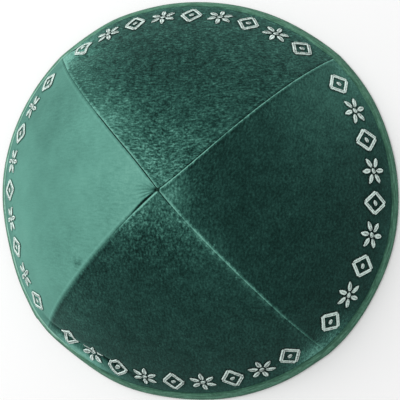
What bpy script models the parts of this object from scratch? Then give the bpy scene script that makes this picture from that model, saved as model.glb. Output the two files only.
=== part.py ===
"""A velvet skullcap: four gored panels that meet at a low peak, and a folded tape bound round their rim.

Metres, +Z up. The cap rests on its rim, with the origin on the floor under the peak.
"""

import math

import bmesh
import bpy

# Driving sizes of the cap as it would be on a block
RIM_RADIUS = 0.0812
CROWN_RISE = 0.0440
MERIDIAN_ANGLE = math.radians(56)
PEAK_RISE = 0.0024
PEAK_REACH = 0.0110
PEAK_OPENING_RADIUS = 0.0008
PEAK_TWIST = math.radians(-5)
PEAK_TWIST_REACH = 0.20

# Cloth and seams
CLOTH = 0.0020
CLEARANCE = 0.0003
SEAM_AZIMUTH = math.radians(45)
SEAM_ROLL_WIDTH = 0.0011
SEAM_ROLL_DEPTH = 0.0007

# The tape that is folded round the rim
TAPE = 0.0006
BINDING_HEIGHT = 0.0034
BINDING_INSIDE_HEIGHT = 0.0046
BINDING_EDGE_ROUND = 0.0006
LAP_AZIMUTH = math.radians(220)
LAP_LENGTH = 0.0090
LAP_DEPTH = 0.0004

# How the soft cap lies: shares of its radius
RIDGE_AT_RIM = 0.032
RIDGE_AT_PEAK = 0.34
OVAL = 0.0135
OVAL_AZIMUTH = math.radians(-9.5)

# How finely the round forms are cut
PANELS = ("panel_right", "panel_back", "panel_left", "panel_front")
PANEL_COLUMNS = 22
PANEL_ROWS = 21
TUCK_ROW_WEIGHT = 0.35

EDGE_HEIGHT = TAPE + CLEARANCE
QUARTER = math.tau / len(PANELS)
UPRIGHT_SHARE = 0.08
LEVEL_SHARE = 0.07

# Dents and bulges. Columns: azimuth in degrees, place down the meridian as a share of it, reach round
# the cap and down it as shares of the rim radius, turn of the reach in degrees, and push outwards as a
# share of the rim radius.
FOLDS = (
    # the tuck over the rim at the front left seam
    (238, 0.872, 0.200, 0.028, -8, -0.0170),
    # the bulge of the front panel's rim beside it, and the hollow of the left panel's rim
    (254, 0.960, 0.180, 0.160, 0, 0.0060),
    (236, 1.000, 0.150, 0.140, 0, -0.0050),
    (196, 0.960, 0.250, 0.200, 0, -0.0140),
    # the small corner where the front left seam reaches the rim
    (220, 1.000, 0.060, 0.140, 0, 0.0020),
    # the rim's other soft waves
    (32, 1.000, 0.160, 0.160, 0, 0.0030),
    (56, 1.000, 0.140, 0.160, 0, -0.0020),
    (102, 1.000, 0.200, 0.160, 0, 0.0030),
    (116, 1.000, 0.130, 0.160, 0, 0.0060),
    (285, 1.000, 0.200, 0.180, 0, 0.0030),
    (311, 1.000, 0.120, 0.160, 0, -0.0040),
    (335, 1.000, 0.170, 0.180, 0, -0.0035),
    # the pucker on the back panel beside the back left seam: a ridge between two hollows
    (126.5, 0.857, 0.140, 0.030, 41, 0.0070),
    (129, 0.800, 0.120, 0.028, 41, -0.0085),
    (128.5, 0.945, 0.060, 0.026, 41, -0.0050),
    # soft hollows of the panels
    (5, 0.560, 0.330, 0.260, 0, -0.0050),
    (88, 0.600, 0.330, 0.260, 0, -0.0040),
    (268, 0.560, 0.330, 0.260, 0, -0.0045),
)


def smooth(share):
    """An even step from 0 to 1."""
    share = min(1.0, max(0.0, share))
    return share * share * (3 - 2 * share)


def meridian(down):
    """Radius and height of the velvet's outer face, and its outward direction, at a share of the way down."""
    turn = MERIDIAN_ANGLE * down
    drop = 1 - math.cos(MERIDIAN_ANGLE)
    radius = RIM_RADIUS * math.sin(turn) / math.sin(MERIDIAN_ANGLE)
    peak = PEAK_RISE * math.exp(-radius / PEAK_REACH)
    height = EDGE_HEIGHT + CROWN_RISE * (math.cos(turn) - math.cos(MERIDIAN_ANGLE)) / drop + peak
    run = RIM_RADIUS * math.cos(turn) / math.sin(MERIDIAN_ANGLE)
    fall = CROWN_RISE * math.sin(turn) / drop + peak / PEAK_REACH * run
    length = math.hypot(run, fall)
    return radius, height, fall / length, run / length


def meridian_length():
    """Length of the velvet's outer face from its peak to its edge."""
    steps = 200
    points = [meridian(step / steps)[:2] for step in range(steps + 1)]
    return sum(math.dist(a, b) for a, b in zip(points, points[1:]))


MERIDIAN_LENGTH = meridian_length()
PEAK_HEIGHT = meridian(0.0)[1]


def through_wall(down):
    """The way through the cloth at a share of the way down: upright at the peak, level at the rim."""
    _, _, out, up = meridian(down)
    upright = 1 - smooth(down / UPRIGHT_SHARE)
    level = smooth((down - 1 + LEVEL_SHARE) / LEVEL_SHARE)
    lean_out = (out * (1 - upright)) * (1 - level) + level
    lean_up = (up * (1 - upright) + upright) * (1 - level)
    reach = lean_out * out + lean_up * up
    return lean_out / reach, lean_up / reach


def angle_between(azimuth, other):
    """The signed turn from one azimuth to the other, within half a turn."""
    return (azimuth - other + math.pi) % math.tau - math.pi


def fold_push(azimuth, down):
    """How far the dents and bulges push the cloth outwards there."""
    push = 0.0
    for fold_azimuth, fold_down, reach_round, reach_down, turn, share in FOLDS:
        round_by = angle_between(azimuth, math.radians(fold_azimuth)) * RIM_RADIUS * min(1.0, down)
        down_by = (down - fold_down) * MERIDIAN_LENGTH
        cosine, sine = math.cos(math.radians(turn)), math.sin(math.radians(turn))
        along = (round_by * cosine + down_by * sine) / (reach_round * RIM_RADIUS)
        across = (down_by * cosine - round_by * sine) / (reach_down * RIM_RADIUS)
        push += share * RIM_RADIUS * math.exp(-(along * along) - across * across)
    return push


def plan_share(azimuth, height):
    """The radius at an azimuth over the radius of a round cap: cornered at the seams, and a little oval."""
    from_middle = (azimuth - SEAM_AZIMUTH) % QUARTER - QUARTER / 2
    corner = 1 / math.cos(from_middle)
    mean_corner = math.log(math.tan(math.pi / 4 + QUARTER / 4)) / (QUARTER / 2)
    ridge = RIDGE_AT_RIM + (RIDGE_AT_PEAK - RIDGE_AT_RIM) * max(0.0, height / PEAK_HEIGHT) ** 2
    oval = OVAL * math.cos(2 * (azimuth - OVAL_AZIMUTH))
    return 1 + ridge * (corner / mean_corner - 1) + oval


def peak_twist(down):
    """How far the cloth turns round the peak, where the four seams are drawn together."""
    return PEAK_TWIST * math.exp(-down / PEAK_TWIST_REACH)


def place(azimuth, down, depth):
    """A point of the settled cap: a share of the way down the meridian, and a depth behind the outer face."""
    beyond = max(0.0, down - 1) * MERIDIAN_LENGTH
    radius, height, out, up = meridian(min(1.0, down))
    across_out, across_up = through_wall(min(1.0, down))
    push = fold_push(azimuth, down)
    radius += up * beyond + (push - depth) * across_out
    height += (push - depth) * across_up - out * beyond
    radius *= plan_share(azimuth, height)
    azimuth += peak_twist(down)
    return radius * math.cos(azimuth), radius * math.sin(azimuth), height


def material(name, colour, roughness, sheen):
    """A cloth material, with the sheen of its pile."""
    made = bpy.data.materials.new(name)
    made.use_nodes = True
    shader = made.node_tree.nodes["Principled BSDF"]
    shader.inputs["Base Color"].default_value = (*colour, 1.0)
    shader.inputs["Roughness"].default_value = roughness
    shader.inputs["Metallic"].default_value = 0.0
    shader.inputs["Sheen Weight"].default_value = sheen
    return made


def object_from(name, mesh, finish, collection):
    """An object of the cap, with its faces turned out."""
    body = bmesh.new()
    body.from_mesh(mesh)
    bmesh.ops.recalc_face_normals(body, faces=body.faces)
    body.to_mesh(mesh)
    body.free()
    mesh.name = name
    mesh.materials.append(finish)
    mesh.shade_smooth()
    mesh.set_sharp_from_angle(angle=math.radians(40))
    made = bpy.data.objects.new(name, mesh)
    collection.objects.link(made)
    return made


def flat_slab(columns, rows):
    """A flat slab of cloth, 0 to 1 in X and Y and 0 or 1 in Z, cut into columns and rows."""
    body = bmesh.new()
    bmesh.ops.create_grid(body, x_segments=columns, y_segments=rows, size=0.5)
    bmesh.ops.translate(body, verts=body.verts, vec=(0.5, 0.5, 0.0))
    lower = body.faces[:]
    raised = bmesh.ops.extrude_face_region(body, geom=lower, use_keep_orig=True)
    upper = [item for item in raised["geom"] if isinstance(item, bmesh.types.BMVert)]
    bmesh.ops.translate(body, verts=upper, vec=(0.0, 0.0, 1.0))
    return body


def column_azimuth(share, down, middle):
    """The azimuth of a panel's column. Its outermost columns follow the seam, and the rest spread evenly."""
    radius = max(PEAK_OPENING_RADIUS, meridian(down)[0])
    half = QUARTER / 2 - math.asin(CLEARANCE / 2 / radius)
    roll = min(SEAM_ROLL_WIDTH / radius, half / 3)
    column = share * PANEL_COLUMNS
    from_side = min(column, PANEL_COLUMNS - column)
    spread = (from_side - 1) / (PANEL_COLUMNS / 2 - 1)
    from_middle = half if from_side < 0.5 else (half - roll) * (1 - spread)
    return middle + math.copysign(from_middle, share - 0.5)


def row_down(share):
    """The place down the meridian of a panel's row. The rows crowd a little towards the rim's folds."""
    crowded = share + TUCK_ROW_WEIGHT * math.sin(math.pi * share) / math.pi
    first = math.asin(PEAK_OPENING_RADIUS * math.sin(MERIDIAN_ANGLE) / RIM_RADIUS) / MERIDIAN_ANGLE
    return first + (1 - first) * crowded


def make_panel(name, middle, finish, collection):
    """One gored panel of velvet, from the peak to the rim between two seams."""
    body = flat_slab(PANEL_COLUMNS, PANEL_ROWS)
    for vertex in body.verts:
        column, row, outside = vertex.co
        down = row_down(row)
        at_seam = min(column, 1 - column) * PANEL_COLUMNS < 0.5
        rolled = SEAM_ROLL_DEPTH * smooth((1 - down) / LEVEL_SHARE) if at_seam else 0.0
        depth = rolled if outside > 0.5 else CLOTH
        vertex.co = place(column_azimuth(column, down, middle), down, depth)
    mesh = bpy.data.meshes.new(name)
    body.to_mesh(mesh)
    body.free()
    return object_from(name, mesh, finish, collection)


def binding_section():
    """The folded tape's closed section: depth behind the velvet's outer face, and rise above its edge."""
    edge_fall = EDGE_HEIGHT / meridian(1.0)[2]
    channel_fall = CLEARANCE / meridian(1.0)[2]
    outer_face = -CLEARANCE - TAPE
    inner_wall = CLOTH + CLEARANCE
    inner_face = inner_wall + TAPE
    rounded = BINDING_EDGE_ROUND
    return (
        (-CLEARANCE, BINDING_HEIGHT),
        (outer_face + rounded / 3, BINDING_HEIGHT),
        (outer_face, BINDING_HEIGHT - rounded),
        (outer_face, BINDING_HEIGHT / 2),
        (outer_face, rounded / 2),
        (outer_face + rounded, -edge_fall),
        (inner_face - rounded, -edge_fall),
        (inner_face, rounded / 2),
        (inner_face, BINDING_INSIDE_HEIGHT / 2),
        (inner_face, BINDING_INSIDE_HEIGHT - rounded),
        (inner_wall, BINDING_INSIDE_HEIGHT),
        (inner_wall, -channel_fall),
        (-CLEARANCE, -channel_fall),
    )


def lap_thickness(azimuth):
    """What the tape's overlapping end adds to its outer face."""
    from_lap = abs(angle_between(azimuth, LAP_AZIMUTH)) * RIM_RADIUS
    return LAP_DEPTH * smooth((LAP_LENGTH - from_lap) / LAP_LENGTH * 2)


def make_binding(finish, collection):
    """The tape folded round the rim: a ring whose vertices are laid along its section, turn by turn."""
    section = binding_section()
    turns = len(PANELS) * PANEL_COLUMNS
    bpy.ops.mesh.primitive_torus_add(major_segments=turns, minor_segments=len(section))
    ring = bpy.context.object
    mesh = ring.data
    bpy.data.objects.remove(ring)
    outer_face = min(depth for depth, _ in section)
    for index, vertex in enumerate(mesh.vertices):
        turn, corner = divmod(index, len(section))
        azimuth = math.tau * turn / turns + SEAM_AZIMUTH
        depth, rise = section[corner]
        if depth == outer_face:
            depth -= lap_thickness(azimuth)
        vertex.co = place(azimuth, 1 - rise / MERIDIAN_LENGTH, depth)
    return object_from("rim_binding", mesh, finish, collection)


def main():
    for old in list(bpy.data.objects):
        bpy.data.objects.remove(old)
    cap = bpy.data.collections.new("skullcap")
    bpy.context.scene.collection.children.link(cap)
    velvet = material("velvet", (0.035, 0.120, 0.090), 0.85, 0.6)
    tape = material("binding_tape", (0.060, 0.190, 0.120), 0.70, 0.3)
    for number, name in enumerate(PANELS):
        make_panel(name, SEAM_AZIMUTH - QUARTER / 2 + number * QUARTER, velvet, cap)
    make_binding(tape, cap)


main()
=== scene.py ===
"""How the velvet skullcap looks: its pile, its seams, the tape at its rim and a border in silver thread.

Metres, in the frame of the solids: the peak is at the middle, the seams lie at 45 degrees, and z is 0 on
the floor.
"""

import math

import bpy
import numpy as np
from mathutils import Matrix, Vector, noise


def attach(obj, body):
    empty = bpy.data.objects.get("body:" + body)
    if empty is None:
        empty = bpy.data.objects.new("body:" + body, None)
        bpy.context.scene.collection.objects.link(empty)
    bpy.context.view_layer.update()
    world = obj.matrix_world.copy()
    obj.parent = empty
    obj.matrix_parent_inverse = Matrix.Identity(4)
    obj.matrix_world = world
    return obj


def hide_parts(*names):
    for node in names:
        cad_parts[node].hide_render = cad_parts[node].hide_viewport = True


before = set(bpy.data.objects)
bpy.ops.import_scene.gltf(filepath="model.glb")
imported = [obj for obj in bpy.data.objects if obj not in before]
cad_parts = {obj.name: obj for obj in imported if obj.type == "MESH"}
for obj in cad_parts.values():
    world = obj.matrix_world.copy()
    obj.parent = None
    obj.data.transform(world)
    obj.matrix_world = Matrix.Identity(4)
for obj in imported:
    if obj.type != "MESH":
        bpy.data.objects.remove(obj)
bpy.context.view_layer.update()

# The camera, as it looked down on the cap
AIM = (0.0045, -0.0007, 0.0)
DISTANCE = 0.328
TILT = math.radians(13.27)
TURN = math.radians(-12.7)
ROLL = math.radians(2.72)
LENS = 72.8

# The studio: a soft key light from the upper left, an even sky and a pale floor
KEY_PLACE = (-0.55, 0.35, 0.75)
KEY_SIZE = 0.8
KEY_POWER = 6.5
SKY_STRENGTH = 0.62
FLOOR_SIZE = 4.0
FLOOR_COLOUR = (0.96, 0.96, 0.96, 1.0)

# Driving sizes of the solids, which the fine surface follows
RIM_RADIUS = 0.0812
CROWN_RISE = 0.0440
MERIDIAN_ANGLE = math.radians(56)
PEAK_RISE = 0.0024
PEAK_REACH = 0.0110
PEAK_TWIST = math.radians(-5)
PEAK_TWIST_REACH = 0.20
CLOTH = 0.0020
TAPE = 0.0006
CLEARANCE = 0.0003
BINDING_HEIGHT = 0.0034
BINDING_INSIDE_HEIGHT = 0.0046
SEAM_AZIMUTH = math.radians(45)
RIDGE_AT_RIM = 0.032
RIDGE_AT_PEAK = 0.34
OVAL = 0.0135
OVAL_AZIMUTH = math.radians(-9.5)
EDGE_HEIGHT = TAPE + CLEARANCE
PANELS = ("right", "back", "left", "front")
QUARTER = math.tau / len(PANELS)
UPRIGHT_SHARE = 0.08
LEVEL_SHARE = 0.07

# Dents and bulges of the solids. Columns: azimuth in degrees, place down the meridian as a share of it,
# reach round the cap and down it as shares of the rim radius, turn of the reach in degrees, and push
# outwards as a share of the rim radius.
FOLDS = (
    (238, 0.872, 0.200, 0.028, -8, -0.0170),
    (254, 0.960, 0.180, 0.160, 0, 0.0060),
    (236, 1.000, 0.150, 0.140, 0, -0.0050),
    (196, 0.960, 0.250, 0.200, 0, -0.0140),
    (220, 1.000, 0.060, 0.140, 0, 0.0020),
    (32, 1.000, 0.160, 0.160, 0, 0.0030),
    (56, 1.000, 0.140, 0.160, 0, -0.0020),
    (102, 1.000, 0.200, 0.160, 0, 0.0030),
    (116, 1.000, 0.130, 0.160, 0, 0.0060),
    (285, 1.000, 0.200, 0.180, 0, 0.0030),
    (311, 1.000, 0.120, 0.160, 0, -0.0040),
    (335, 1.000, 0.170, 0.180, 0, -0.0035),
    (126.5, 0.857, 0.140, 0.030, 41, 0.0070),
    (129, 0.800, 0.120, 0.028, 41, -0.0085),
    (128.5, 0.945, 0.060, 0.026, 41, -0.0050),
    (5, 0.560, 0.330, 0.260, 0, -0.0050),
    (88, 0.600, 0.330, 0.260, 0, -0.0040),
    (268, 0.560, 0.330, 0.260, 0, -0.0045),
)


def smooth(share):
    """An even step from 0 to 1."""
    share = np.clip(share, 0.0, 1.0)
    return share * share * (3 - 2 * share)


def meridian(down):
    """Radius and height of the velvet's outer face, and its outward direction, at a share of the way down."""
    turn = MERIDIAN_ANGLE * down
    drop = 1 - math.cos(MERIDIAN_ANGLE)
    radius = RIM_RADIUS * np.sin(turn) / math.sin(MERIDIAN_ANGLE)
    peak = PEAK_RISE * np.exp(-radius / PEAK_REACH)
    height = EDGE_HEIGHT + CROWN_RISE * (np.cos(turn) - math.cos(MERIDIAN_ANGLE)) / drop + peak
    run = RIM_RADIUS * np.cos(turn) / math.sin(MERIDIAN_ANGLE)
    fall = CROWN_RISE * np.sin(turn) / drop + peak / PEAK_REACH * run
    length = np.hypot(run, fall)
    return radius, height, fall / length, run / length


def meridian_length():
    """Length of the velvet's outer face from its peak to its edge."""
    radius, height, _, _ = meridian(np.linspace(0, 1, 201))
    return float(np.hypot(np.diff(radius), np.diff(height)).sum())


MERIDIAN_LENGTH = meridian_length()
PEAK_HEIGHT = float(meridian(0.0)[1])


def through_wall(down):
    """The way through the cloth at a share of the way down: upright at the peak, level at the rim."""
    _, _, out, up = meridian(down)
    upright = 1 - smooth(down / UPRIGHT_SHARE)
    level = smooth((down - 1 + LEVEL_SHARE) / LEVEL_SHARE)
    lean_out = (out * (1 - upright)) * (1 - level) + level
    lean_up = (up * (1 - upright) + upright) * (1 - level)
    reach = lean_out * out + lean_up * up
    return lean_out / reach, lean_up / reach


def angle_between(azimuth, other):
    """The signed turn from one azimuth to the other, within half a turn."""
    return (azimuth - other + math.pi) % math.tau - math.pi


def spots(table, azimuth, down):
    """The sum of a table's soft oval spots there, each in its last column's unit."""
    total = np.zeros(np.broadcast(azimuth, down).shape)
    for spot_azimuth, spot_down, reach_round, reach_down, turn, amount in table:
        round_by = angle_between(azimuth, math.radians(spot_azimuth)) * RIM_RADIUS * np.minimum(1.0, down)
        down_by = (down - spot_down) * MERIDIAN_LENGTH
        cosine, sine = math.cos(math.radians(turn)), math.sin(math.radians(turn))
        along = (round_by * cosine + down_by * sine) / (reach_round * RIM_RADIUS)
        across = (down_by * cosine - round_by * sine) / (reach_down * RIM_RADIUS)
        total = total + amount * np.exp(-(along * along) - across * across)
    return total


def plan_share(azimuth, height):
    """The radius at an azimuth over the radius of a round cap: cornered at the seams, and a little oval."""
    from_middle = (azimuth - SEAM_AZIMUTH) % QUARTER - QUARTER / 2
    corner = 1 / np.cos(from_middle)
    mean_corner = math.log(math.tan(math.pi / 4 + QUARTER / 4)) / (QUARTER / 2)
    ridge = RIDGE_AT_RIM + (RIDGE_AT_PEAK - RIDGE_AT_RIM) * np.maximum(0.0, height / PEAK_HEIGHT) ** 2
    oval = OVAL * np.cos(2 * (azimuth - OVAL_AZIMUTH))
    return 1 + ridge * (corner / mean_corner - 1) + oval


def peak_twist(down):
    """How far the cloth turns round the peak, where the four seams are drawn together."""
    return PEAK_TWIST * np.exp(-down / PEAK_TWIST_REACH)


def place(azimuth, down, depth, folded=True):
    """Points of the settled cap, at a share of the way down it and a depth behind its outer face."""
    beyond = np.maximum(0.0, down - 1) * MERIDIAN_LENGTH
    radius, height, out, up = meridian(np.minimum(1.0, down))
    across_out, across_up = through_wall(np.minimum(1.0, down))
    push = spots(FOLDS, azimuth, down) * RIM_RADIUS if folded else 0.0
    radius = radius + up * beyond + (push - depth) * across_out
    height = height + (push - depth) * across_up - out * beyond
    radius = radius * plan_share(azimuth, height)
    azimuth = azimuth + peak_twist(down)
    return np.stack([radius * np.cos(azimuth), radius * np.sin(azimuth), height], axis=-1)


def cloth_plan(azimuth, down):
    """The cloth's own flat coordinates in metres: the cap rolled out flat round its peak."""
    along = down * MERIDIAN_LENGTH
    return np.stack(np.broadcast_arrays(along * np.cos(azimuth), along * np.sin(azimuth)), axis=-1)


# The finer relief that the solids leave out
PANEL_COLUMNS = 190
PANEL_ROWS = 175
SEAM_GAP = 0.00006
SEAM_SPREAD = 1.5
SEAM_FADE = 0.05
PILE_LIP_HEIGHT = 0.00006
PILE_LIP_PLACE = 0.0009
PILE_LIP_REACH = 0.0005
STITCH_PITCH = 0.0028
STITCH_PUCKER = 0.00004
STITCH_PUCKER_REACH = 0.0016
PEAK_HOLE_RADIUS = 0.0006

# How much closer together a panel's rows lie in the border and at the peak, and over what share of the way
ROW_STEPS = 400
BORDER_CLOSER = 1.6
BORDER_CLOSER_REACH = 0.075
PEAK_CLOSER = 1.2
PEAK_CLOSER_REACH = 0.05

# The seams. Columns: azimuth in degrees, how far down the pile stays parted over the stitches, the depth
# and half width of the groove there, and the same two below
SEAMS = (
    (45, 0.21, 0.00024, 0.00040, 0.00007, 0.00035),
    (135, 0.36, 0.00032, 0.00032, 0.00006, 0.00036),
    (225, 0.090, 0.00036, 0.00080, 0.00006, 0.00040),
    (315, 0.06, 0.00024, 0.00036, 0.00007, 0.00040),
)

# Creases that run out from the peak. Columns: azimuth in degrees, length, width, depth
PEAK_CREASES = (
    (148, 0.0040, 0.0004, 0.00030),
    (163, 0.0055, 0.0004, 0.00042),
    (175, 0.0075, 0.0004, 0.00050),
    (186, 0.0068, 0.0004, 0.00045),
    (197, 0.0060, 0.0004, 0.00042),
    (209, 0.0052, 0.0004, 0.00036),
)

# Sharp creases within the softer folds: the tuck's three stretches and the pucker's two sides. Columns as
# for the folds, but the last is a depth
SHARP_CREASES = (
    (233.5, 0.872, 0.090, 0.009, -14, 0.00075),
    (247, 0.857, 0.120, 0.009, 4, 0.00070),
    (259, 0.898, 0.050, 0.012, 32, 0.00040),
    (128, 0.795, 0.080, 0.012, 41, 0.00045),
    (130, 0.955, 0.035, 0.012, 41, 0.00045),
)

# Soft unevenness of the pile's surface. Columns: wavelength, height
PILE_WAVES = ((0.0110, 0.00016), (0.0042, 0.00007), (0.0017, 0.00003))


def seam_distance(azimuth, down):
    """The distance along the cloth to the nearest seam."""
    radius = np.maximum(meridian(np.minimum(1.0, down))[0], PEAK_HOLE_RADIUS)
    from_seam = angle_between(azimuth * len(PANELS), SEAM_AZIMUTH * len(PANELS)) / len(PANELS)
    return np.abs(from_seam) * radius


def seam_relief(azimuth, down):
    """How far the outer face lies behind its plain form beside a seam: a valley, a lip of pile, puckers."""
    distance = seam_distance(azimuth, down)
    groove = np.zeros(distance.shape)
    for seam_azimuth, parted_down, parted_depth, parted_width, depth, width in SEAMS:
        beside = np.abs(angle_between(azimuth, math.radians(seam_azimuth))) < QUARTER / 2
        parted = 1 - smooth((down - parted_down) / SEAM_FADE)
        half_width = width + (parted_width - width) * parted
        deep = depth + (parted_depth - depth) * parted
        groove = np.where(beside, deep * (1 - smooth(distance / half_width)), groove)
    lip = PILE_LIP_HEIGHT * np.exp(-(((distance - PILE_LIP_PLACE) / PILE_LIP_REACH) ** 2))
    wave = 0.5 + 0.5 * np.cos(math.tau * down * MERIDIAN_LENGTH / STITCH_PITCH)
    pucker = STITCH_PUCKER * wave * np.exp(-((distance / STITCH_PUCKER_REACH) ** 2))
    return (groove - lip + pucker) * smooth((1 - down) / SEAM_FADE)


def crease_relief(azimuth, down):
    """The depth of the creases that run out from the peak."""
    radius = meridian(down)[0]
    depth = np.zeros(np.broadcast(azimuth, down).shape)
    for crease_azimuth, length, width, deep in PEAK_CREASES:
        aside = angle_between(azimuth, math.radians(crease_azimuth)) * radius / width
        depth = depth + deep * np.exp(-(aside * aside)) * np.exp(-((radius / length) ** 2))
    return depth


def formed_relief(azimuth, down):
    """How far the outer face lies behind its plain form, apart from the pile's own unevenness."""
    sharp = spots(SHARP_CREASES, azimuth, down)
    return seam_relief(azimuth, down) + crease_relief(azimuth, down) + sharp


def pile_relief(azimuth, down):
    """The soft unevenness of the pile, as a depth."""
    flat = cloth_plan(azimuth, down)
    depth = np.zeros(flat.shape[:-1])
    for wavelength, height in PILE_WAVES:
        places = (flat / wavelength).reshape(-1, 2).tolist()
        values = np.array([noise.noise((x, y, wavelength / height)) for x, y in places])
        depth += height * values.reshape(depth.shape)
    return depth * smooth((1 - down) / LEVEL_SHARE)


def mesh_object(name, points, faces, material):
    """A smooth mesh object from an array of points and a list of faces."""
    mesh = bpy.data.meshes.new(name)
    mesh.from_pydata(points.reshape(-1, 3).tolist(), [], faces)
    mesh.materials.append(material)
    mesh.shade_smooth()
    made = bpy.data.objects.new(name, mesh)
    bpy.context.scene.collection.objects.link(made)
    return made


def strip_faces(first, second):
    """The faces between two rows of vertex numbers."""
    return np.stack([first[:-1], first[1:], second[1:], second[:-1]], axis=-1)


def shell_faces(rows, columns):
    """The faces of a closed shell: an outer grid, an inner grid and the four edges between them."""
    outer = np.arange(rows * columns).reshape(rows, columns)
    inner = outer + rows * columns
    faces = [strip_faces(outer[row + 1], outer[row]) for row in range(rows - 1)]
    faces += [strip_faces(inner[row], inner[row + 1]) for row in range(rows - 1)]
    faces.append(strip_faces(outer[0], inner[0]))
    faces.append(strip_faces(inner[-1], outer[-1]))
    faces.append(strip_faces(inner[:, 0], outer[:, 0]))
    faces.append(strip_faces(outer[:, -1], inner[:, -1]))
    return np.concatenate(faces)


def panel_grid(middle):
    """Azimuths and downs of a panel's grid, closer together beside its seams and in its border."""
    side = np.linspace(-1, 1, PANEL_COLUMNS)
    side = np.sign(side) * (1 - (1 - np.abs(side)) ** SEAM_SPREAD)
    first = math.asin(PEAK_HOLE_RADIUS * math.sin(MERIDIAN_ANGLE) / RIM_RADIUS) / MERIDIAN_ANGLE
    even = np.linspace(first, 1, ROW_STEPS)
    in_border = np.exp(-(((even - BAND_MIDDLE) / BORDER_CLOSER_REACH) ** 4))
    density = 1 + BORDER_CLOSER * in_border + PEAK_CLOSER * np.exp(-even / PEAK_CLOSER_REACH)
    gathered = np.concatenate([[0.0], np.cumsum((density[1:] + density[:-1]) / 2)])
    down = np.interp(np.linspace(0, gathered[-1], PANEL_ROWS), gathered, even)
    down = down[:, None] * np.ones(PANEL_COLUMNS)
    half = QUARTER / 2 - np.arcsin(SEAM_GAP / 2 / meridian(down)[0])
    return middle + half * side[None, :], down


def normals(points):
    """Unit normals of a grid of points, outwards."""
    round_by = np.gradient(points, axis=1)
    down_by = np.gradient(points, axis=0)
    across = np.cross(down_by, round_by)
    return across / np.maximum(np.linalg.norm(across, axis=-1, keepdims=True), 1e-12)


# The embroidered border: its motifs' sizes and the threads that fill their strokes
BAND_MIDDLE = 0.868
MOTIFS_A_PANEL = 9
MOTIF_TURN = math.radians(9.3)
LOZENGE_HALF_WIDTH = 0.0040
LOZENGE_HALF_HEIGHT = 0.0052
DOT_RADIUS = 0.0010
PETALS = 6
PETAL_START = 0.0016
PETAL_END = 0.0054
PETAL_HALF_WIDTH = 0.0010
MOTIF_REACH = 0.007
STROKE_STEPS = 60
STROKE_HALF_WIDTH = 0.00070
STROKE_END_WIDTH = 0.35
STROKE_END_REACH = 0.06
LEAF_SKEW = 0.85
LEAF_FULLNESS = 0.7
THREAD_PITCH = 0.00031
THREAD_RADIUS = 0.00016
THREAD_SLANT = math.radians(18)
THREAD_LENGTHS = (0.93, 1.05)
THREAD_CREST = 0.00050
THREAD_SINK = 0.00010
THREAD_ROUNDNESS = 0.98
THREAD_GROOVE = 0.55
THREAD_GROOVE_REACH = 0.4
THREAD_END_WIDTH = 0.35
THREAD_RINGS = 9
THREAD_SIDES = 5
THREAD_SEED = 11
TROUGH_DEPTH = 0.00022
TROUGH_REACH = 0.00075

# Painted light on each panel's thread, the one thread painted lit on some panels: what it adds to its tones,
# which run from 0 to 1
THREAD_PAINTED_LIGHT = {"right": 0.8, "back": 0.0, "left": 0.0, "front": 0.0}


def stroke_line(start, end):
    """A stroke's middle line, and how far along it each of its points lies, from 0 to 1."""
    share = np.linspace(0, 1, STROKE_STEPS)
    return np.array(start) * (1 - share[:, None]) + np.array(end) * share[:, None], share


def straight(start, end, half_width):
    """A stroke's middle line, and its half width, which narrows at its ends."""
    line, share = stroke_line(start, end)
    near_end = np.minimum(share, 1 - share) / STROKE_END_REACH
    return line, half_width * (STROKE_END_WIDTH + (1 - STROKE_END_WIDTH) * smooth(near_end))


def oval(start, end, half_width):
    """A leaf-shaped stroke: its middle line and its half width."""
    line, share = stroke_line(start, end)
    return line, half_width * np.sin(math.pi * share ** LEAF_SKEW) ** LEAF_FULLNESS


def lozenge():
    """A lozenge's outline with a dot inside."""
    wide, high = LOZENGE_HALF_WIDTH, LOZENGE_HALF_HEIGHT
    corners = [(0, high), (wide, 0), (0, -high), (-wide, 0)]
    strokes = [straight(a, b, STROKE_HALF_WIDTH) for a, b in zip(corners, corners[1:] + corners[:1])]
    return strokes + [oval((-DOT_RADIUS, 0), (DOT_RADIUS, 0), DOT_RADIUS)]


def flower():
    """Petals round a dot."""
    strokes = [oval((-DOT_RADIUS, 0), (DOT_RADIUS, 0), DOT_RADIUS)]
    for number in range(PETALS):
        turn = math.tau * number / PETALS
        way = np.array((math.sin(turn), math.cos(turn)))
        strokes.append(oval(way * PETAL_START, way * PETAL_END, PETAL_HALF_WIDTH))
    return strokes


MOTIFS = (lozenge(), flower())


def motif_azimuths(middle):
    """The azimuth of each of a panel's motifs, and its strokes."""
    first = -(MOTIFS_A_PANEL - 1) / 2
    return [(middle + (first + n) * MOTIF_TURN, MOTIFS[n % len(MOTIFS)]) for n in range(MOTIFS_A_PANEL)]


def band_place(local, motif_azimuth):
    """Azimuth and down of a motif's own coordinates: metres along the border, and metres towards the peak."""
    down = BAND_MIDDLE - local[..., 1] / MERIDIAN_LENGTH
    return motif_azimuth + local[..., 0] / meridian(down)[0], down


def pressed_share(azimuth, down, middle):
    """How much the border's strokes press the pile down, and how much painted shade lies round them: 1 under
    a stroke, 0 away from it.
    """
    pressed = np.zeros(azimuth.shape)
    for motif_azimuth, strokes in motif_azimuths(middle):
        along = angle_between(azimuth, motif_azimuth) * meridian(down)[0]
        towards = (BAND_MIDDLE - down) * MERIDIAN_LENGTH
        near = (np.abs(along) < MOTIF_REACH) & (np.abs(towards) < MOTIF_REACH)
        here = np.stack([along[near], towards[near]], axis=-1)
        for line, half_width in strokes:
            gap = np.linalg.norm(here[:, None, :] - line[None, :, :], axis=-1) - half_width
            share = 1 - smooth(gap.min(axis=1) / TROUGH_REACH)
            pressed[near] = np.maximum(pressed[near], share)
    return pressed


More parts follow.
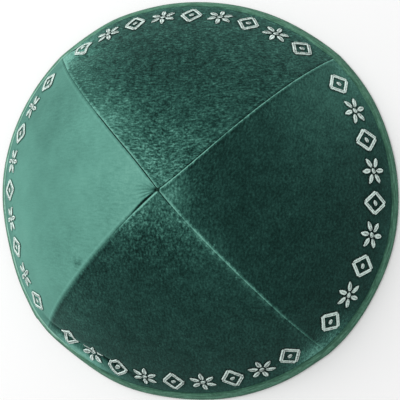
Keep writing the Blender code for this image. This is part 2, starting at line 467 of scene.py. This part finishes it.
def thread_lines(strokes, chance):
    """Middle lines of the threads that cross a motif's strokes, and each thread's tone."""
    lines = []
    for line, half_width in strokes:
        along = np.concatenate([[0.0], np.cumsum(np.linalg.norm(np.diff(line, axis=0), axis=1))])
        places = np.arange(THREAD_PITCH / 2, along[-1], THREAD_PITCH)
        middle = np.stack([np.interp(places, along, line[:, axis]) for axis in (0, 1)], axis=-1)
        width = np.interp(places, along, half_width) * chance.uniform(*THREAD_LENGTHS, len(places))
        way = (line[-1] - line[0]) / np.linalg.norm(line[-1] - line[0])
        turn = math.pi / 2 - THREAD_SLANT
        across = np.array([
            way[0] * math.cos(turn) - way[1] * math.sin(turn),
            way[0] * math.sin(turn) + way[1] * math.cos(turn),
        ])
        share = np.linspace(-1, 1, THREAD_RINGS)
        flat = middle[:, None, :] + across * (share[None, :, None] * width[:, None, None])
        thick = np.minimum(1.0, width / STROKE_HALF_WIDTH)[:, None]
        grooved = 1 - THREAD_GROOVE * np.exp(-((share / THREAD_GROOVE_REACH) ** 2))
        domed = np.sqrt(1 - (share * THREAD_ROUNDNESS) ** 2) * grooved
        lift = -THREAD_SINK + (THREAD_CREST + THREAD_SINK) * thick * domed
        lines.append(np.concatenate([flat, lift[..., None]], axis=-1))
    lines = np.concatenate(lines)
    return lines, chance.uniform(0.0, 1.0, len(lines))


def tubes(lines, radius):
    """Closed tubes round many middle lines at once: their points and faces."""
    count, rings, _ = lines.shape
    way = np.gradient(lines, axis=1)
    way /= np.linalg.norm(way, axis=-1, keepdims=True)
    side = np.cross(way, (0.0, 0.0, 1.0))
    side /= np.maximum(np.linalg.norm(side, axis=-1, keepdims=True), 1e-9)
    rise = np.cross(side, way)
    turn = math.tau * np.arange(THREAD_SIDES) / THREAD_SIDES
    taper = np.ones(rings)
    taper[[0, -1]] = THREAD_END_WIDTH
    ring = side[:, :, None] * np.cos(turn)[:, None] + rise[:, :, None] * np.sin(turn)[:, None]
    points = lines[:, :, None] + ring * (radius * taper[:, None, None])
    numbers = np.arange(count * rings * THREAD_SIDES).reshape(count, rings, THREAD_SIDES)
    after = np.roll(numbers, -1, axis=2)
    faces = np.stack([numbers[:, :-1], after[:, :-1], after[:, 1:], numbers[:, 1:]], axis=-1).reshape(-1, 4)
    caps = np.concatenate([numbers[:, 0, ::-1], numbers[:, -1]])
    return points, faces.tolist() + caps.tolist()


def embroidery(side, number, material):
    """One panel's share of the border, thread by thread."""
    middle = SEAM_AZIMUTH - QUARTER / 2 + number * QUARTER
    chance = np.random.default_rng(number + THREAD_SEED)
    points, faces, tones, sides = [], [], [], []
    # How far towards its ends each ring of a thread lies, for its painted highlight
    end_highlight = np.repeat(np.abs(np.linspace(-1, 1, THREAD_RINGS)), THREAD_SIDES)
    for motif_azimuth, strokes in motif_azimuths(middle):
        lines, tone = thread_lines(strokes, chance)
        local, local_faces = tubes(lines, THREAD_RADIUS)
        azimuth, down = band_place(local, motif_azimuth)
        points.append(place(azimuth, down, formed_relief(azimuth, down) - local[..., 2]).reshape(-1, 3))
        start = sum(len(group) for group in points[:-1])
        faces += [[corner + start for corner in face] for face in local_faces]
        # The panel's painted light, added to each thread's random tone
        tones.append(np.repeat(tone + THREAD_PAINTED_LIGHT[side], THREAD_RINGS * THREAD_SIDES))
        sides.append(np.tile(end_highlight, len(tone)))
    made = mesh_object("silver_border_" + side, np.concatenate(points), faces, material)
    add_attribute(made, "tone", np.concatenate(tones))
    add_attribute(made, "end_highlight", np.concatenate(sides))
    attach(made, "root")


# How pale each panel's pile is painted, from 0 to 1, as painted sheen and shade, and how much it is streaked
PANEL_PAINTED_LIGHT = {"right": 0.22, "back": 0.35, "left": 0.80, "front": 0.25}
PANEL_STREAKS = {"right": 0.50, "back": 0.95, "left": 0.08, "front": 0.55}
# Painted light and shade: paler where the pile's relief turns towards one side, darker beside the strokes
PAINTED_LIGHT_SIDE = np.array([-1.0, 0.1, 0.0])
PAINTED_LIGHT_GAIN = 0.9
STROKE_PAINTED_SHADE = 0.20

# Where each panel's pile is painted paler or darker, as painted light, sheen and shade. Columns as for the
# folds, but the last is how much paler
PAINTED_LIGHT_SPOTS = {
    "right": (
        (8, 0.050, 0.140, 0.085, 0, 0.36),
        (34, 0.720, 0.260, 0.280, 0, 0.20),
        (40, 0.920, 0.240, 0.160, 0, 0.18),
        (42, 0.970, 0.240, 0.060, 0, 0.14),
        (0, 1.000, 0.900, 0.075, 0, 0.11),
        (316, 0.250, 0.050, 0.200, 0, 0.12),
        (318, 0.950, 0.120, 0.080, 0, 0.36),
    ),
    "back": (
        (90, 0.060, 0.200, 0.110, 0, 0.18),
        (68, 0.230, 0.100, 0.070, 0, 0.10),
        (133, 0.300, 0.090, 0.240, 0, 0.20),
        (133, 0.600, 0.150, 0.400, 0, 0.15),
        (137, 0.900, 0.200, 0.140, 0, 0.52),
        (96, 0.550, 0.420, 0.160, 0, -0.08),
        (100, 1.000, 0.900, 0.060, 0, 0.12),
        (56, 0.980, 0.200, 0.080, 0, 0.12),
    ),
    "left": (
        (181, 0.120, 0.150, 0.080, 0, 0.04),
        (185, 0.560, 0.600, 0.200, 0, -0.05),
        (180, 1.000, 0.900, 0.180, 0, -0.12),
        (146, 0.760, 0.280, 0.320, 0, -0.12),
        (223, 0.055, 0.012, 0.050, 0, -0.30),
        (219.2, 0.457, 0.020, 0.012, 30, -0.22),
        (221, 0.440, 0.010, 0.018, 0, -0.18),
    ),
    "front": (
        (270, 0.070, 0.200, 0.130, 0, 0.13),
        (226, 0.150, 0.060, 0.140, 0, 0.20),
        (313, 0.220, 0.100, 0.220, 0, 0.12),
        (232, 0.740, 0.160, 0.300, 0, 0.09),
        (237, 0.945, 0.230, 0.072, -5, 0.58),
        (234, 0.848, 0.090, 0.010, -14, 0.20),
        (313, 0.950, 0.120, 0.090, 0, 0.46),
        (270, 1.000, 0.900, 0.075, 0, 0.18),
    ),
}

# How much darker the pile looks for each metre of a sharp crease's depth
CREASE_SHADE = 400

# Where each panel's mottling stands out more. Columns as for the folds, but the last is how much more
STREAK_SPOTS = {
    "right": (
        (45, 0.500, 0.050, 0.900, 0, 0.15),
        (0, 0.080, 0.250, 0.160, 0, 0.30),
        (318, 0.940, 0.160, 0.100, 0, 0.50),
    ),
    "back": ((128, 0.850, 0.200, 0.150, 0, 0.20), (90, 0.120, 0.300, 0.180, 0, 0.40)),
    "left": (
        (219, 0.455, 0.030, 0.030, 30, 0.30),
        (200, 0.120, 0.200, 0.200, 0, 0.20),
        (146, 0.500, 0.160, 0.300, 0, 0.12),
        (216, 0.480, 0.180, 0.260, 0, 0.13),
    ),
    "front": (
        (230, 0.600, 0.080, 0.500, 0, 0.20),
        (270, 0.150, 0.300, 0.180, 0, 0.60),
        (313, 0.940, 0.160, 0.100, 0, 0.50),
    ),
}

# The painted pale or dark line along each side of a seam: a painted highlight, or painted shade. Columns:
# seam azimuth in degrees, how much paler it is at the four places down the meridian, and the line's width
SEAM_LINE_PLACES = (0.06, 0.25, 0.55, 0.92)
SEAM_PAINTED_LINES = {
    "right": ((45, 0.40, 0.48, 0.48, 0.28, 0.00042), (315, 0.22, 0.46, 0.40, 0.10, 0.00075)),
    "back": ((45, 0.34, 0.14, 0.02, 0.00, 0.00055), (135, 0.26, 0.24, 0.10, 0.00, 0.00060)),
    "left": ((135, -0.30, -0.22, -0.06, 0.00, 0.00030), (225, -0.35, -0.04, 0.00, 0.00, 0.00050)),
    "front": ((225, 0.28, 0.06, 0.04, 0.00, 0.00055), (315, 0.14, 0.40, 0.34, 0.10, 0.00075)),
}


def seam_painted_lines(side, azimuth, down):
    """The nearest seam's painted pale or dark line: its distance as a share of its width, and how much paler
    it is.
    """
    radius = meridian(down)[0]
    distance = np.full(azimuth.shape, np.inf)
    paler = np.zeros(azimuth.shape)
    for seam_azimuth, *paler_by, width in SEAM_PAINTED_LINES[side]:
        away = np.abs(angle_between(azimuth, math.radians(seam_azimuth))) * radius / width
        amount = np.interp(down, SEAM_LINE_PLACES, paler_by)
        paler = np.where(away < distance, amount, paler)
        distance = np.minimum(away, distance)
    return distance, paler


def velvet_panel(side, number, material, backing):
    """One panel of velvet: its pile face with all its relief, and its plain back."""
    middle = SEAM_AZIMUTH - QUARTER / 2 + number * QUARTER
    azimuth, down = panel_grid(middle)
    pressed = pressed_share(azimuth, down, middle)
    formed = formed_relief(azimuth, down)
    outer = place(azimuth, down, formed + pile_relief(azimuth, down) + pressed * TROUGH_DEPTH)
    inner = place(azimuth, down, CLOTH)
    faces = shell_faces(*azimuth.shape)
    made = mesh_object("velvet_" + side, np.stack([outer, inner]), faces.tolist(), material)
    # Painted light and shade on the pile: paler per panel and where its folds and seams turn towards one side
    plain = place(azimuth, down, 0.0, folded=False)
    relief_light = (normals(place(azimuth, down, formed)) - normals(plain)) @ PAINTED_LIGHT_SIDE
    pale = PANEL_PAINTED_LIGHT[side] + PAINTED_LIGHT_GAIN * relief_light + spots(PAINTED_LIGHT_SPOTS[side], azimuth, down)
    # Painted shade beside the strokes and in the sharp creases
    pale -= STROKE_PAINTED_SHADE * pressed + CREASE_SHADE * spots(SHARP_CREASES, azimuth, down)
    streaks = PANEL_STREAKS[side] + spots(STREAK_SPOTS[side], azimuth, down)
    # Painted pale and dark lines beside the seams
    away, paler = seam_painted_lines(side, azimuth, down)
    for name, values in (("pale", pale), ("streaks", streaks), ("seam_away", away), ("seam_painted_light", paler)):
        add_attribute(made, name, np.stack([values, values]))
    add_uv(made, cloth_plan(azimuth, down))
    made.data.materials.append(backing)
    inner_faces = faces.min(axis=1) >= azimuth.size
    made.data.polygons.foreach_set("material_index", inner_faces.astype(np.int32))
    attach(made, "root")
    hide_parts("panel_" + side)


def add_attribute(made, name, values):
    """A number for each of the object's vertices, which its material reads."""
    attribute = made.data.attributes.new(name, "FLOAT", "POINT")
    attribute.data.foreach_set("value", values.astype(np.float32).ravel())


def add_uv(made, flat):
    """The cloth's own flat coordinates, in metres, alike on the shell's two faces."""
    flat = np.concatenate([flat.reshape(-1, 2)] * (len(made.data.vertices) // (flat.size // 2)))
    corners = np.zeros(len(made.data.loops), np.int32)
    made.data.loops.foreach_get("vertex_index", corners)
    layer = made.data.uv_layers.new(name="cloth")
    layer.data.foreach_set("uv", flat[corners].astype(np.float32).ravel())


class Nodes:
    """A short way to write a material's nodes."""

    def __init__(self, name):
        self.material = bpy.data.materials.new(name)
        self.material.use_nodes = True
        self.tree = self.material.node_tree
        self.shader = self.tree.nodes["Principled BSDF"]

    def add(self, kind, inputs=(), **settings):
        """A node with its settings, whose inputs are numbers or other nodes' outputs."""
        node = self.tree.nodes.new("ShaderNode" + kind)
        for key, value in settings.items():
            setattr(node, key, value)
        for key, value in dict(inputs).items():
            self.set(node.inputs[key], value)
        return node

    def set(self, socket, value):
        """Gives a socket a number or a link from another node's output."""
        if isinstance(value, bpy.types.NodeSocket):
            self.tree.links.new(value, socket)
        else:
            socket.default_value = value

    def math(self, operation, *values):
        """The result of one step of arithmetic."""
        return self.add("Math", enumerate(values), operation=operation).outputs[0]

    def attribute(self, name):
        """One of the mesh's own values."""
        return self.add("Attribute", attribute_name=name).outputs["Fac"]

    def ramp(self, share, stops):
        """A colour from a share, through stops of a place and a colour."""
        node = self.add("ValToRGB", {"Fac": share})
        ramp = node.color_ramp
        while len(ramp.elements) < len(stops):
            ramp.elements.new(0.5)
        for element, (position, colour) in zip(ramp.elements, stops):
            element.position = position
            element.color = (*colour, 1.0)
        return node.outputs["Color"]

    def noise(self, vector, scale, detail=2.0, roughness=0.5):
        """Soft noise, from 0 to 1."""
        inputs = {"Vector": vector, "Scale": scale, "Detail": detail, "Roughness": roughness}
        return self.add("TexNoise", inputs).outputs["Fac"]

    def around_zero(self, value, gain):
        """A noise's difference from its middle, times a gain."""
        return self.math("MULTIPLY", self.math("SUBTRACT", value, 0.5), gain)

    def shade(self, **inputs):
        """Values or links for the shader's inputs, named with _ for a space."""
        for key, value in inputs.items():
            self.set(self.shader.inputs[key.replace("_", " ")], value)


# The velvet's colours, from pile that stands in its own shade to pile that lies towards the light
VELVET_STOPS = (
    (0.00, (0.001, 0.010, 0.008)),
    (0.20, (0.006, 0.031, 0.025)),
    (0.35, (0.015, 0.062, 0.050)),
    (0.55, (0.038, 0.132, 0.103)),
    (0.80, (0.110, 0.303, 0.243)),
    (1.00, (0.175, 0.418, 0.338)),
)

# The way each panel's mottling lies, in degrees, and how long it is that way
STREAK_TURN = {"right": 80, "back": 4, "left": 0, "front": 90}
STREAK_LENGTH = {"right": 0.0013, "back": 0.0018, "left": 0.0030, "front": 0.0015}
STREAK_WIDTH = 0.00085
GRAIN_SIZE = 0.00075
BLOTCH_SIZE = 0.0040
CLOUD_SIZE = 0.014
WISP_SIZE = 0.0010

# How much each kind of mottling shows, and how uneven the seams' painted lines are across and along
STREAK_GAIN = 1.15
GRAIN_GAIN = 0.75
BLOTCH_GAIN = 0.45
CLOUD_GAIN = 0.14
WISP_GAIN = 3.0
LINE_GAIN = 2.5

# The other materials: the sizes of their weave, fuzz, soil and fibres, and how much each shows
BACKING_WEAVE = 0.0007
BACKING_FUZZ = 0.0012
SOIL_SIZE = 0.0014
SOIL_GAIN = 0.7
THREAD_TONE_GAIN = 0.22
# The painted highlight towards each thread's ends: how strong, and how steeply it rises
THREAD_END_HIGHLIGHT_GAIN = 0.85
THREAD_END_HIGHLIGHT_POWER = 1.6
TAPE_STREAK_LENGTH = 0.0060
TAPE_STREAK_WIDTH = 0.0007
TAPE_STREAK_GAIN = 1.1
TAPE_FUZZ = 0.0010
TAPE_FUZZ_GAIN = 0.55
FIBRE_SIZE = 0.00025


def velvet_material(side):
    """Cut pile: mottled where it stands, with painted sheen and shade from how pale it is painted, and
    painted lines in wisps beside the seams.
    """
    n = Nodes("velvet_" + side)
    flat = n.add("UVMap", uv_map="cloth").outputs["UV"]
    rotation = (0.0, 0.0, -math.radians(STREAK_TURN[side]))
    turned = n.add("Mapping", {"Vector": flat, "Rotation": rotation}).outputs[0]
    scale = (1 / STREAK_LENGTH[side], 1 / STREAK_WIDTH, 1.0)
    sized = n.add("Mapping", {"Vector": turned, "Scale": scale}).outputs[0]
    streaks = n.noise(sized, 1.0, 3.0, 0.65)
    grain = n.noise(flat, 1 / GRAIN_SIZE, 2.0, 0.6)
    amount = n.attribute("streaks")
    mottle = n.math("ADD", n.around_zero(streaks, STREAK_GAIN), n.around_zero(grain, GRAIN_GAIN))
    mottle = n.math("ADD", mottle, n.around_zero(n.noise(flat, 1 / BLOTCH_SIZE, 2.0), BLOTCH_GAIN))
    # The pile's painted light and shade, with the mottling over it
    share = n.math("MULTIPLY_ADD", mottle, amount, n.attribute("pale"))
    share = n.math("ADD", share, n.around_zero(n.noise(flat, 1 / CLOUD_SIZE, 1.0), CLOUD_GAIN))
    wisps = n.noise(flat, 1 / WISP_SIZE, 2.0, 0.6)
    uneven = n.math("ADD", n.around_zero(wisps, WISP_GAIN), 1.0)
    away = n.math("MULTIPLY", n.attribute("seam_away"), uneven)
    line = n.math("EXPONENT", n.math("MULTIPLY", n.math("POWER", away, 2.0), -1.0))
    strength = n.math("ADD", n.around_zero(n.noise(flat, 1 / (2 * WISP_SIZE), 1.0), LINE_GAIN), 1.0)
    line = n.math("MULTIPLY", line, strength)
    # The seam lines' painted highlight or shade, added to the pile's share
    share = n.math("MULTIPLY_ADD", line, n.attribute("seam_painted_light"), share)
    n.shade(Base_Color=n.ramp(share, VELVET_STOPS), Roughness=0.9)
    n.shade(Sheen_Weight=0.12, Sheen_Roughness=0.5, Sheen_Tint=(0.45, 0.80, 0.70, 1.0))
    n.shade(Specular_IOR_Level=0.08)
    bump = n.add("Bump", {"Strength": 0.5, "Distance": 0.0003, "Height": streaks})
    n.shade(Normal=bump.outputs[0])
    return n.material


def backing_material():
    """The velvet's plain-woven back, seen on the cap's inside."""
    n = Nodes("velvet_back")
    flat = n.add("UVMap", uv_map="cloth").outputs["UV"]
    weave = n.add("TexChecker", {"Vector": flat, "Scale": 1 / BACKING_WEAVE}).outputs["Fac"]
    fuzz = n.noise(flat, 1 / BACKING_FUZZ, 3.0)
    share = n.math("ADD", n.math("MULTIPLY", weave, 0.35), n.math("MULTIPLY", fuzz, 0.5))
    stops = ((0.0, (0.016, 0.060, 0.044)), (1.0, (0.050, 0.140, 0.105)))
    n.shade(Base_Color=n.ramp(share, stops), Roughness=0.9, Sheen_Weight=0.1)
    bump = n.add("Bump", {"Strength": 0.4, "Distance": 0.0002, "Height": share})
    n.shade(Normal=bump.outputs[0])
    return n.material


def thread_material():
    """Silver-grey satin thread with a green cast: a painted highlight towards its ends, painted light on some
    panels, and a little uneven in tone.
    """
    n = Nodes("silver_thread")
    soil = n.noise(n.add("TexCoord").outputs["Object"], 1 / SOIL_SIZE, 2.0)
    # Painted highlight towards the thread's ends, and painted light by panel in its tone
    side = n.math("POWER", n.attribute("end_highlight"), THREAD_END_HIGHLIGHT_POWER)
    tone = n.math("MULTIPLY", n.attribute("tone"), THREAD_TONE_GAIN)
    share = n.math("MULTIPLY_ADD", side, THREAD_END_HIGHLIGHT_GAIN, tone)
    share = n.math("ADD", share, n.around_zero(soil, SOIL_GAIN))
    stops = ((0.05, (0.158, 0.190, 0.178)), (0.30, (0.440, 0.535, 0.497)), (0.55, (0.830, 1.000, 0.935)))
    n.shade(Base_Color=n.ramp(share, stops), Roughness=0.34, Specular_IOR_Level=0.6, Metallic=0.35)
    n.shade(Sheen_Weight=0.15, Sheen_Roughness=0.3)
    return n.material


# The tape round the rim, as it is sewn on: close to the velvet, soft at its fold
BINDING_TURNS = 480
TAPE_CLEARANCE = 0.00005
TAPE_THICKNESS = 0.00042
TAPE_CROWN = 0.00012
TAPE_WANDER = 0.00030
TAPE_WANDER_LENGTH = 0.009
TAPE_EDGE_ROUND = 0.0007
TAPE_EDGE_TUCK = 0.0003
TAPE_EDGE_THIN = 0.75
TAPE_CROWN_SKEW = 0.8
TAPE_FOLD_START = 0.12
TAPE_FACE_STEPS = 14
TAPE_FOLD_STEPS = 6
TAPE_TURN_STEPS = 5
TAPE_INSIDE_SHARES = (0.3, 0.5, 0.7)
LAP_END = math.radians(220.5)
LAP_LENGTH = 0.0110
LAP_DEPTH = 0.00022
LAP_STEP = 0.0006
LAP_OUTER_SHARE = 0.6

# How light the tape is at shares of its height above the velvet's edge
TAPE_LIT_PLACES = (-0.3, 0.0, 0.2, 0.5, 0.75, 0.92, 1.0)
TAPE_LIT = (0.12, 0.34, 0.50, 0.55, 0.52, 0.42, 0.28)

# How much lighter the tape is at azimuths round the rim, in degrees: teal where it faces the light. The
# last table gives the share of that at the heights of TAPE_LIT_PLACES: most of it at the top, while the
# fold is a little darker instead.
TAPE_PALER_AZIMUTHS = (0, 30, 60, 90, 112, 126, 150, 180, 210, 228, 242, 270, 330)
TAPE_PALER = (0.00, 0.12, 0.25, 0.15, 0.26, 0.52, 0.68, 0.70, 0.88, 0.85, 0.14, 0.03, 0.00)
TAPE_PALER_SHARES = (-0.20, -0.20, -0.18, -0.10, 0.16, 0.52, 1.40)

# How much further up the velvet the tape's outer edge is sewn, at azimuths round the rim, in degrees
TAPE_RISE_AZIMUTHS = (0, 22, 45, 75, 98, 220, 248, 285, 312, 335)
TAPE_RISE = (-0.0002, 0.0002, 0.0009, 0.0011, 0.0001, 0.0, 0.0010, 0.0013, 0.0009, -0.0001)


def tape_section():
    """The folded tape's section: depth behind the velvet's outer face, and rise above its edge."""
    outer_face = -TAPE_CLEARANCE - TAPE_THICKNESS
    inner_wall = CLOTH + TAPE_CLEARANCE
    inner_face = inner_wall + TAPE_THICKNESS
    edge_fall = EDGE_HEIGHT / float(meridian(1.0)[2])
    channel_fall = TAPE_CLEARANCE / float(meridian(1.0)[2])
    rounded = TAPE_EDGE_ROUND
    outline = [(-TAPE_CLEARANCE, BINDING_HEIGHT - TAPE_EDGE_TUCK), (-TAPE_CLEARANCE, BINDING_HEIGHT)]
    for share in np.linspace(1.0, TAPE_FOLD_START, TAPE_FACE_STEPS):
        bulge = TAPE_CROWN * math.sin(math.pi * share ** TAPE_CROWN_SKEW)
        thinner = TAPE_EDGE_THIN * (1 - smooth((1 - share) / TAPE_FOLD_START))
        edge = (TAPE_THICKNESS + TAPE_CLEARANCE) * float(thinner)
        outline.append((outer_face - bulge + edge, BINDING_HEIGHT * share))
    low = outline[-1]
    for step in range(1, TAPE_FOLD_STEPS + 1):
        turn = math.pi / 2 * step / TAPE_FOLD_STEPS
        across, fall = rounded * (1 - math.cos(turn)), (low[1] + edge_fall) * math.sin(turn)
        outline.append((low[0] + across, low[1] - fall))
    for step in range(TAPE_TURN_STEPS + 1):
        turn = math.pi / 2 * step / TAPE_TURN_STEPS
        across, fall = rounded * math.sin(turn), (rounded / 2 + edge_fall) * (1 - math.cos(turn))
        outline.append((inner_face - rounded + across, -edge_fall + fall))
    outline += [(inner_face, BINDING_INSIDE_HEIGHT * share) for share in TAPE_INSIDE_SHARES]
    outline += [(inner_face, BINDING_INSIDE_HEIGHT - rounded), (inner_wall, BINDING_INSIDE_HEIGHT)]
    outline += [(inner_wall, -channel_fall), (-TAPE_CLEARANCE, -channel_fall)]
    return np.array(outline)


def lap_thickness(azimuth):
    """What the tape's overlapping end adds to its outer face: it fades in, and stops at the cut end."""
    before_end = angle_between(LAP_END, azimuth) * RIM_RADIUS
    fade_in = smooth((LAP_LENGTH - before_end) / LAP_LENGTH)
    return LAP_DEPTH * fade_in * smooth(before_end / LAP_STEP)


def rim_tape(material):
    """The tape folded round the velvet's edge, with its overlapping end."""
    section = tape_section()
    azimuth = SEAM_AZIMUTH + math.tau * np.arange(BINDING_TURNS) / BINDING_TURNS
    depth = section[None, :, 0] + np.zeros((BINDING_TURNS, 1))
    outer = section[None, :, 0] <= -TAPE_CLEARANCE - TAPE_THICKNESS * LAP_OUTER_SHARE
    depth = depth - np.where(outer, lap_thickness(azimuth)[:, None], 0.0)
    around = np.stack([np.cos(azimuth), np.sin(azimuth)], axis=-1) * RIM_RADIUS / TAPE_WANDER_LENGTH
    wander = TAPE_WANDER * np.array([noise.noise((x, y, 0.5)) for x, y in around.tolist()])
    raised = np.interp(np.degrees(azimuth) % 360, TAPE_RISE_AZIMUTHS, TAPE_RISE, period=360)
    top_share = smooth(section[None, :, 1] / BINDING_HEIGHT)
    on_outside = section[None, :, 0] < CLOTH / 2
    rise = section[None, :, 1] + (wander[:, None] + raised[:, None] * on_outside) * top_share
    down = 1 - rise / MERIDIAN_LENGTH
    points = place(azimuth[:, None], down, depth)
    count = len(section)
    ring = np.arange(BINDING_TURNS * count).reshape(BINDING_TURNS, count)
    ring = np.concatenate([ring, ring[:1]])
    ring = np.concatenate([ring, ring[:, :1]], axis=1)
    faces = np.concatenate([strip_faces(ring[turn], ring[turn + 1]) for turn in range(BINDING_TURNS)])
    made = mesh_object("binding_tape", points, faces.tolist(), material)
    along = np.concatenate([[0.0], np.cumsum(np.hypot(*np.diff(section, axis=0).T))])
    flat = np.stack(np.broadcast_arrays(azimuth[:, None] * RIM_RADIUS, along[None, :]), axis=-1)
    add_uv(made, flat)
    lit = np.interp(section[:, 1] / BINDING_HEIGHT, TAPE_LIT_PLACES, TAPE_LIT)
    share = np.interp(section[:, 1] / BINDING_HEIGHT, TAPE_LIT_PLACES, TAPE_PALER_SHARES)
    paler = np.interp(np.degrees(azimuth) % 360, TAPE_PALER_AZIMUTHS, TAPE_PALER, period=360)
    outside = share * (1 - smooth(section[:, 0] / CLOTH))
    add_attribute(made, "lit", lit[None, :] + paler[:, None] * outside[None, :])
    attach(made, "root")
    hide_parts("rim_binding")


# The tape's colours, from its shaded edges to where it faces the light
TAPE_STOPS = (
    (0.00, (0.011, 0.046, 0.033)),
    (0.45, (0.045, 0.140, 0.090)),
    (0.80, (0.118, 0.300, 0.208)),
    (1.00, (0.265, 0.500, 0.410)),
)


def tape_material():
    """A woven green tape, yellower than the velvet, with long streaks that run round the rim."""
    n = Nodes("tape")
    flat = n.add("UVMap", uv_map="cloth").outputs["UV"]
    scale = (1 / TAPE_STREAK_LENGTH, 1 / TAPE_STREAK_WIDTH, 1.0)
    streaks = n.noise(n.add("Mapping", {"Vector": flat, "Scale": scale}).outputs[0], 1.0, 2.0, 0.6)
    fuzz = n.noise(flat, 1 / TAPE_FUZZ, 3.0, 0.6)
    share = n.math("ADD", n.around_zero(streaks, TAPE_STREAK_GAIN), n.around_zero(fuzz, TAPE_FUZZ_GAIN))
    share = n.math("ADD", share, n.attribute("lit"))
    n.shade(Base_Color=n.ramp(share, TAPE_STOPS), Roughness=0.75, Specular_IOR_Level=0.15)
    n.shade(Sheen_Weight=0.10, Sheen_Roughness=0.5, Sheen_Tint=(0.45, 0.85, 0.60, 1.0))
    bump = n.add("Bump", {"Strength": 0.5, "Distance": 0.0002, "Height": share})
    n.shade(Normal=bump.outputs[0])
    return n.material


# The knot of green thread that draws the four seams together and closes the peak
KNOT_RADIUS = 0.00072
KNOT_SINK = 0.00030
KNOT_DOME = 0.00016
KNOT_RIDGE = 0.00005
KNOT_STRANDS = 7
KNOT_TWIST = math.radians(70)
KNOT_RINGS = 10
KNOT_TURNS = 56
KNOT_FIRST_SHARE = 0.06


def peak_knot(material):
    """The knot at the peak: a small button of twisted strands, through the cloth's whole depth."""
    turn = math.tau * np.arange(KNOT_TURNS) / KNOT_TURNS
    share = np.linspace(KNOT_FIRST_SHARE, 1.0, KNOT_RINGS)[:, None]
    strands = np.cos(KNOT_STRANDS * (turn + KNOT_TWIST * share))
    bulge = KNOT_DOME * np.sqrt(1 - share ** 2) + KNOT_RIDGE * share * strands
    top = float(place(0.0, 0.0, 0.0)[2])
    heights = np.concatenate([top - KNOT_SINK + bulge, (top - CLOTH - bulge)[::-1]])
    radius = KNOT_RADIUS * np.concatenate([share, share[::-1]])
    points = np.stack([radius * np.cos(turn), radius * np.sin(turn), heights], axis=-1)
    ring = np.arange(2 * KNOT_RINGS * KNOT_TURNS).reshape(2 * KNOT_RINGS, KNOT_TURNS)
    wrapped = np.concatenate([ring, ring[:, :1]], axis=1)
    faces = np.concatenate([strip_faces(low, high) for low, high in zip(wrapped[1:], wrapped[:-1])])
    faces = faces.tolist() + [ring[0].tolist(), ring[-1, ::-1].tolist()]
    made = mesh_object("peak_knot", points, faces, material)
    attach(made, "root")


def knot_material():
    """Dark green sewing thread, drawn tight."""
    n = Nodes("sewing_thread")
    fibres = n.noise(n.add("TexCoord").outputs["Object"], 1 / FIBRE_SIZE, 3.0, 0.6)
    stops = ((0.3, (0.002, 0.014, 0.010)), (0.7, (0.010, 0.048, 0.034)))
    n.shade(Base_Color=n.ramp(fibres, stops), Roughness=0.7, Specular_IOR_Level=0.10)
    bump = n.add("Bump", {"Strength": 0.4, "Distance": 0.0001, "Height": fibres})
    n.shade(Normal=bump.outputs[0])
    return n.material


def camera():
    """The photograph's viewpoint."""
    data = bpy.data.cameras.new("camera")
    data.lens = LENS
    data.sensor_width = 36.0
    data.clip_start, data.clip_end = 0.01, 10.0
    made = bpy.data.objects.new("camera", data)
    bpy.context.scene.collection.objects.link(made)
    back = Vector((math.sin(TILT) * math.cos(TURN), math.sin(TILT) * math.sin(TURN), math.cos(TILT)))
    side = Vector((-math.sin(ROLL), math.cos(ROLL), 0.0)).cross(back).normalized()
    turned = Matrix((side, back.cross(side), back)).transposed()
    made.matrix_world = Matrix.Translation(Vector(AIM) + back * DISTANCE) @ turned.to_4x4()
    bpy.context.scene.camera = made


def key_light():
    """A soft square light that faces the cap."""
    data = bpy.data.lights.new("key", "AREA")
    data.size = KEY_SIZE
    data.energy = KEY_POWER
    made = bpy.data.objects.new("key", data)
    bpy.context.scene.collection.objects.link(made)
    made.location = KEY_PLACE
    made.rotation_euler = (-Vector(KEY_PLACE)).to_track_quat("-Z", "Y").to_euler()


def studio():
    """A pale floor under soft light, the most of it from the upper left."""
    bpy.ops.mesh.primitive_plane_add(size=FLOOR_SIZE, location=(0, 0, 0))
    floor = bpy.context.object
    floor.name = "floor"
    n = Nodes("floor")
    n.shade(Base_Color=FLOOR_COLOUR, Roughness=0.9)
    floor.data.materials.append(n.material)
    world = bpy.data.worlds.new("studio")
    bpy.context.scene.world = world
    world.use_nodes = True
    background = world.node_tree.nodes["Background"]
    background.inputs["Color"].default_value = (1.0, 1.0, 1.0, 1.0)
    background.inputs["Strength"].default_value = SKY_STRENGTH
    key_light()
    bpy.context.scene.view_settings.view_transform = "Standard"


camera()
studio()
backing = backing_material()
silver = thread_material()
for number, side in enumerate(PANELS):
    velvet_panel(side, number, velvet_material(side), backing)
    embroidery(side, number, silver)
rim_tape(tape_material())
peak_knot(knot_material())
